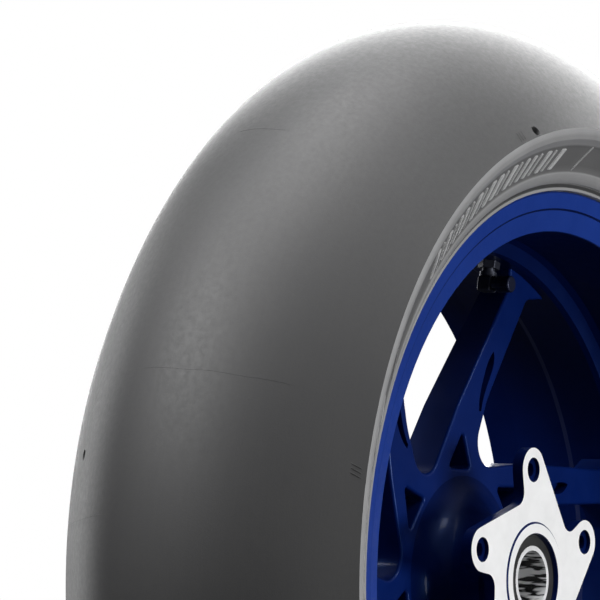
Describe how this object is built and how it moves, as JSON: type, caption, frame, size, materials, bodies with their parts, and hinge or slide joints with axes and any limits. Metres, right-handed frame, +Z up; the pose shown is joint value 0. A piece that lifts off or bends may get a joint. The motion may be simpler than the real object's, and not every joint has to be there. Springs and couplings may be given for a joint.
{
  "type": "motorcycle rear wheel with slick tyre",
  "caption": "Motorcycle rear racing wheel with a wide slick tyre on a deep seven-spoke blue forged rim, with hub bearings, disc flange, cush drive and sprocket carrier.",
  "frame": {"origin": "on the wheel's axis at the tyre's mid plane", "axes": "+Y along the axle from the brake disc side to the sprocket side, +Z up"},
  "size_m": [0.672, 0.1964, 0.6718],
  "materials": {
    "slick_rubber": "satin, buffed slick compound",
    "sidewall_rubber": "satin, moulded",
    "belt_cord": "rubbered cord",
    "carcass_cord": "rubbered cord",
    "liner_rubber": "smooth",
    "bead_wire": "bronze-plated wire",
    "blue_forging": "gloss deep blue paint, disc flange machined bare",
    "bearing_steel": "ground",
    "cage_plastic": "moulded",
    "seal_rubber": "matt",
    "spacer_alloy": "turned",
    "carrier_alloy": "hard anodised",
    "cush_rubber": "matt",
    "valve_alloy": "anodised",
    "cap_alloy": "anodised black",
    "valve_brass": "turned"
  },
  "bodies": {
    "axle_sleeve": {"centre_spacer": "spacer_alloy", "carrier_spacer": "spacer_alloy", "disc_bearing_inner_race": "bearing_steel", "hub_bearing_inner_race": "bearing_steel", "carrier_bearing_inner_race": "bearing_steel"},
    "wheel": {"tread_rubber": "slick_rubber", "sidewall_disc_side": "sidewall_rubber", "sidewall_sprocket_side": "sidewall_rubber", "belt_ply": "belt_cord", "carcass_ply": "carcass_cord", "inner_liner": "liner_rubber", "bead_core_disc_side": "bead_wire", "bead_core_sprocket_side": "bead_wire", "bead_filler_disc_side": "sidewall_rubber", "bead_filler_sprocket_side": "sidewall_rubber", "rim": "blue_forging", "spoke_1": "blue_forging", "spoke_2": "blue_forging", "spoke_3": "blue_forging", "spoke_4": "blue_forging", "spoke_5": "blue_forging", "spoke_6": "blue_forging", "spoke_7": "blue_forging", "hub": "blue_forging", "disc_bearing_outer_race": "bearing_steel", "disc_bearing_seals": "seal_rubber", "hub_bearing_outer_race": "bearing_steel", "hub_bearing_seals": "seal_rubber", "cush_rubbers": "cush_rubber", "valve_stem": "valve_alloy", "valve_seal": "seal_rubber", "valve_nut": "valve_alloy", "valve_core": "valve_brass"},
    "sprocket_carrier": {"sprocket_carrier": "carrier_alloy", "carrier_bearing_outer_race": "bearing_steel", "carrier_bearing_seals": "seal_rubber"},
    "disc_ball_train": {"disc_bearing_balls": "bearing_steel", "disc_bearing_cage": "cage_plastic"},
    "hub_ball_train": {"hub_bearing_balls": "bearing_steel", "hub_bearing_cage": "cage_plastic"},
    "carrier_ball_train": {"carrier_bearing_balls": "bearing_steel", "carrier_bearing_cage": "cage_plastic"},
    "valve_pin": {"valve_pin": "valve_brass"},
    "valve_cap": {"valve_cap": "cap_alloy"}
  },
  "joints": [
    {"name": "wheel_spin", "type": "hinge", "parent": "axle_sleeve", "child": "wheel", "pos_m": [0, 0, 0], "axis": [0, 1, 0], "continuous": true},
    {"name": "cush_twist", "type": "hinge", "parent": "wheel", "child": "sprocket_carrier", "pos_m": [0, 0, 0], "axis": [0, 1, 0], "range_deg": [-2.5, 2.5], "stiffness_Nm_per_rad": 300},
    {"name": "disc_balls_orbit", "type": "hinge", "parent": "axle_sleeve", "child": "disc_ball_train", "pos_m": [0, 0, 0], "axis": [0, 1, 0], "continuous": true},
    {"name": "hub_balls_orbit", "type": "hinge", "parent": "axle_sleeve", "child": "hub_ball_train", "pos_m": [0, 0, 0], "axis": [0, 1, 0], "continuous": true},
    {"name": "carrier_balls_orbit", "type": "hinge", "parent": "axle_sleeve", "child": "carrier_ball_train", "pos_m": [0, 0, 0], "axis": [0, 1, 0], "continuous": true},
    {"name": "valve_pin_press", "type": "slide", "parent": "wheel", "child": "valve_pin", "axis": [0, 1, 0], "range_m": [0, 0.0012], "stiffness_N_per_m": 400},
    {"name": "valve_cap_off", "type": "slide", "parent": "wheel", "child": "valve_cap", "axis": [0, -1, 0], "range_m": [0, 0.012]}
  ],
  "couplings": [
    {"joint": "disc_balls_orbit", "follows": "wheel_spin", "ratio": 0.56593},
    {"joint": "hub_balls_orbit", "follows": "wheel_spin", "ratio": 0.56593},
    {"joint": "carrier_balls_orbit", "follows": "wheel_spin", "ratio": 0.56593}
  ]
}
